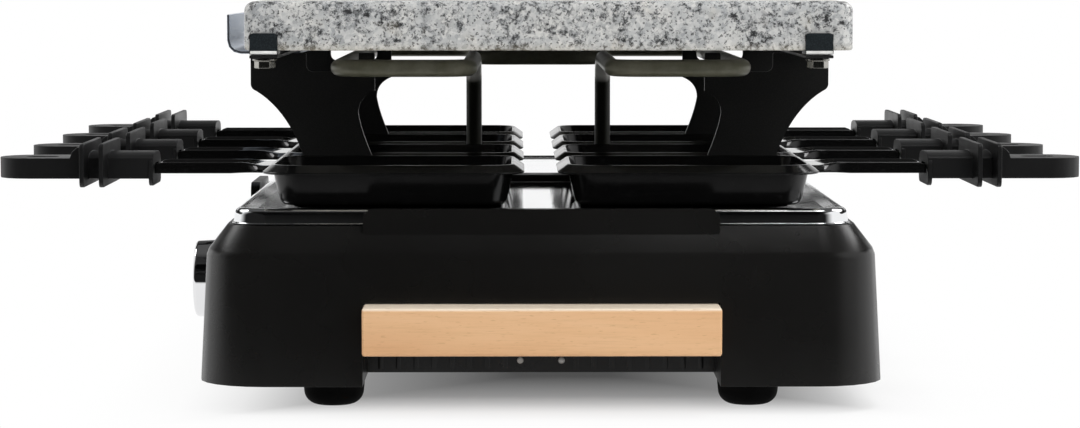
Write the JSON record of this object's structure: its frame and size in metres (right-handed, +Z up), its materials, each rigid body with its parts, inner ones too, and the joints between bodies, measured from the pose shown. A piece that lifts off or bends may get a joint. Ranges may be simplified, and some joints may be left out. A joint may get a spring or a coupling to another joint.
{
  "type": "raclette grill",
  "caption": "Tabletop raclette grill: low housing with wooden carrying grips, steel drip deck, sliding pans, bent tube heater and a granite plate on sheet uprights.",
  "frame": {"origin": "on the table under the middle of the grill", "axes": "+X across the grill, the way the right-hand pans pull out; +Y along the grill, away from the picture's camera; +Z up"},
  "size_m": [0.4578, 0.423, 0.168],
  "materials": {
    "housing_black": "satin moulded plastic",
    "handle_black": "fine matt moulded plastic",
    "pan_black": "gloss black non-stick coating",
    "arm_black": "gloss black coated sheet",
    "powder_black": "satin black powder coat",
    "polished_steel": "polished stainless steel",
    "knob_metal": "polished metal",
    "heater_steel": "olive grey heat-tinted steel",
    "beech": "smooth unvarnished beech",
    "granite": "polished speckled granite",
    "rubber": "matt black rubber",
    "ceramic": "matt insulating ceramic",
    "lens": "clear amber plastic"
  },
  "bodies": {
    "root": {"housing": "housing_black", "base_plate": "housing_black", "deck_tray": "polished_steel", "grip_front": "beech", "grip_rear": "beech", "heater_base_plate": "powder_black", "heater_element": "heater_steel", "terminal_block": "ceramic", "rail_left": "powder_black", "rail_right": "powder_black", "drip_guard": "polished_steel", "thermostat_body": "housing_black", "pilot_lens": "lens", "cord_inlet": "rubber", "foot_front_left": "rubber", "foot_front_right": "rubber", "foot_rear_left": "rubber", "foot_rear_right": "rubber", "upright_front_left": "powder_black", "upright_front_right": "powder_black", "upright_rear_left": "powder_black", "upright_rear_right": "powder_black", "upright_screw_front_left": "polished_steel", "upright_screw_front_right": "polished_steel", "upright_screw_rear_left": "polished_steel", "upright_screw_rear_right": "polished_steel", "stone_clip_front_left": "powder_black", "stone_clip_front_right": "powder_black", "stone_clip_rear_left": "powder_black", "stone_clip_rear_right": "powder_black", "clip_bolt_front_left": "polished_steel", "clip_bolt_front_right": "polished_steel", "clip_bolt_rear_left": "polished_steel", "clip_bolt_rear_right": "polished_steel"},
    "stone": {"stone_plate": "granite"},
    "knob": {"thermostat_knob": "knob_metal"},
    "pan_left_1": {"pan_left_1_tray": "pan_black", "pan_left_1_arm": "arm_black", "pan_left_1_handle": "handle_black"},
    "pan_left_2": {"pan_left_2_tray": "pan_black", "pan_left_2_arm": "arm_black", "pan_left_2_handle": "handle_black"},
    "pan_left_3": {"pan_left_3_tray": "pan_black", "pan_left_3_arm": "arm_black", "pan_left_3_handle": "handle_black"},
    "pan_left_4": {"pan_left_4_tray": "pan_black", "pan_left_4_arm": "arm_black", "pan_left_4_handle": "handle_black"},
    "pan_right_1": {"pan_right_1_tray": "pan_black", "pan_right_1_arm": "arm_black", "pan_right_1_handle": "handle_black"},
    "pan_right_2": {"pan_right_2_tray": "pan_black", "pan_right_2_arm": "arm_black", "pan_right_2_handle": "handle_black"},
    "pan_right_3": {"pan_right_3_tray": "pan_black", "pan_right_3_arm": "arm_black", "pan_right_3_handle": "handle_black"},
    "pan_right_4": {"pan_right_4_tray": "pan_black", "pan_right_4_arm": "arm_black", "pan_right_4_handle": "handle_black"}
  },
  "joints": [
    {"name": "stone_lift", "type": "slide", "parent": "root", "child": "stone", "axis": [0, 0, 1], "range_m": [0, 0.08]},
    {"name": "knob_turn", "type": "hinge", "parent": "root", "child": "knob", "pos_m": [-0.15, 0, 0.0366], "axis": [1, 0, 0], "range_deg": [0, 240]},
    {"name": "pan_left_1_slide", "type": "slide", "parent": "root", "child": "pan_left_1", "axis": [-1, 0, 0], "range_m": [0, 0.13]},
    {"name": "pan_left_2_slide", "type": "slide", "parent": "root", "child": "pan_left_2", "axis": [-1, 0, 0], "range_m": [0, 0.13]},
    {"name": "pan_left_3_slide", "type": "slide", "parent": "root", "child": "pan_left_3", "axis": [-1, 0, 0], "range_m": [0, 0.13]},
    {"name": "pan_left_4_slide", "type": "slide", "parent": "root", "child": "pan_left_4", "axis": [-1, 0, 0], "range_m": [0, 0.13]},
    {"name": "pan_right_1_slide", "type": "slide", "parent": "root", "child": "pan_right_1", "axis": [1, 0, 0], "range_m": [0, 0.13]},
    {"name": "pan_right_2_slide", "type": "slide", "parent": "root", "child": "pan_right_2", "axis": [1, 0, 0], "range_m": [0, 0.13]},
    {"name": "pan_right_3_slide", "type": "slide", "parent": "root", "child": "pan_right_3", "axis": [1, 0, 0], "range_m": [0, 0.13]},
    {"name": "pan_right_4_slide", "type": "slide", "parent": "root", "child": "pan_right_4", "axis": [1, 0, 0], "range_m": [0, 0.13]}
  ]
}
